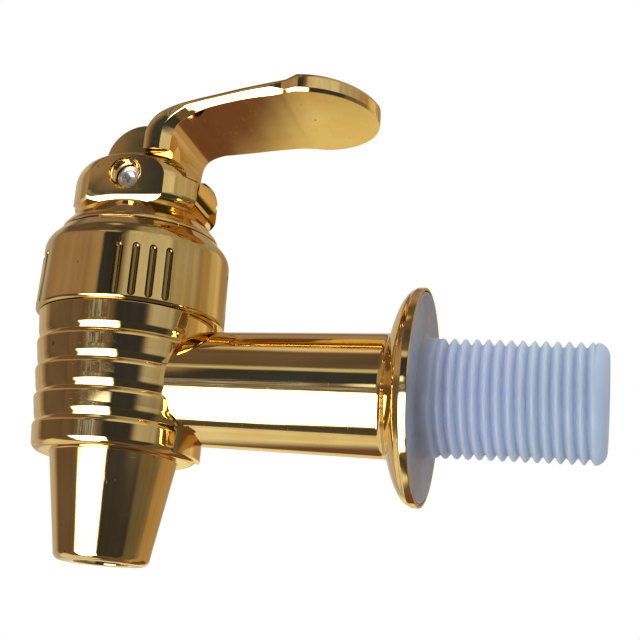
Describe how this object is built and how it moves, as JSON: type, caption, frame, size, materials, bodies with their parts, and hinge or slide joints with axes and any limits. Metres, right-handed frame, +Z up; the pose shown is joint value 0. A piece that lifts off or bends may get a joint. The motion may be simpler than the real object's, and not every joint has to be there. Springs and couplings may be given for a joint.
{
  "type": "beverage dispenser spigot",
  "caption": "Gold-plated drinks dispenser tap with a ribbed barrel, swivelling yoke, lift lever, sprung seat plug and a threaded plastic tail behind its flange.",
  "frame": {"origin": "centre of the flange's rear face, where the tap meets the dispenser's wall", "axes": "+X along the shank into the dispenser through the wall, +Z up with the nozzle pointing down, the lever reaching back over the shank in +X"},
  "size_m": [0.0804, 0.0294, 0.0673],
  "materials": {
    "gold_body": "polished gold plate",
    "gold_bonnet": "polished gold plate",
    "gold_yoke": "polished gold plate",
    "gold_lever": "polished gold plate",
    "milky_plastic": "translucent natural plastic",
    "silicone": "soft silicone",
    "black_rubber": "rubber seal",
    "white_plastic": "moulded plastic",
    "stainless": "turned stainless steel",
    "spring_wire": "drawn stainless wire",
    "nickel_screw": "nickel-plated steel",
    "brass": "turned brass"
  },
  "bodies": {
    "tap_body": {"body": "gold_body", "threaded_inlet": "milky_plastic", "inlet_seal_ring": "black_rubber", "bonnet": "gold_bonnet", "bonnet_gasket": "silicone", "stem_seal_ring": "black_rubber", "gland_washer": "white_plastic"},
    "swivel": {"yoke": "gold_yoke", "swivel_snap_ring": "stainless", "pivot_screw": "nickel_screw", "pivot_nut": "nickel_screw", "pivot_sleeve": "brass"},
    "handle": {"lever": "gold_lever"},
    "valve": {"stem": "stainless", "lift_pin": "stainless", "spring": "spring_wire", "spring_washer": "white_plastic", "retaining_clip": "stainless", "seat_plug": "silicone"}
  },
  "joints": [
    {"name": "yoke_swivel", "type": "hinge", "parent": "tap_body", "child": "swivel", "pos_m": [-0.043, 0, 0.0222], "axis": [0, 0, 1], "continuous": true},
    {"name": "lever_hinge", "type": "hinge", "parent": "swivel", "child": "handle", "pos_m": [-0.043, 0, 0.0287], "axis": [0, -1, 0], "range_deg": [0, 40], "stiffness_Nm_per_rad": 0.02, "springref_deg": -34.38},
    {"name": "stem_slide", "type": "slide", "parent": "swivel", "child": "valve", "axis": [0, 0, 1], "range_m": [0, 0.0024], "deforming": ["spring"]}
  ],
  "couplings": [
    {"joint": "stem_slide", "follows": "lever_hinge", "m_per_rad": 0.0034377}
  ]
}
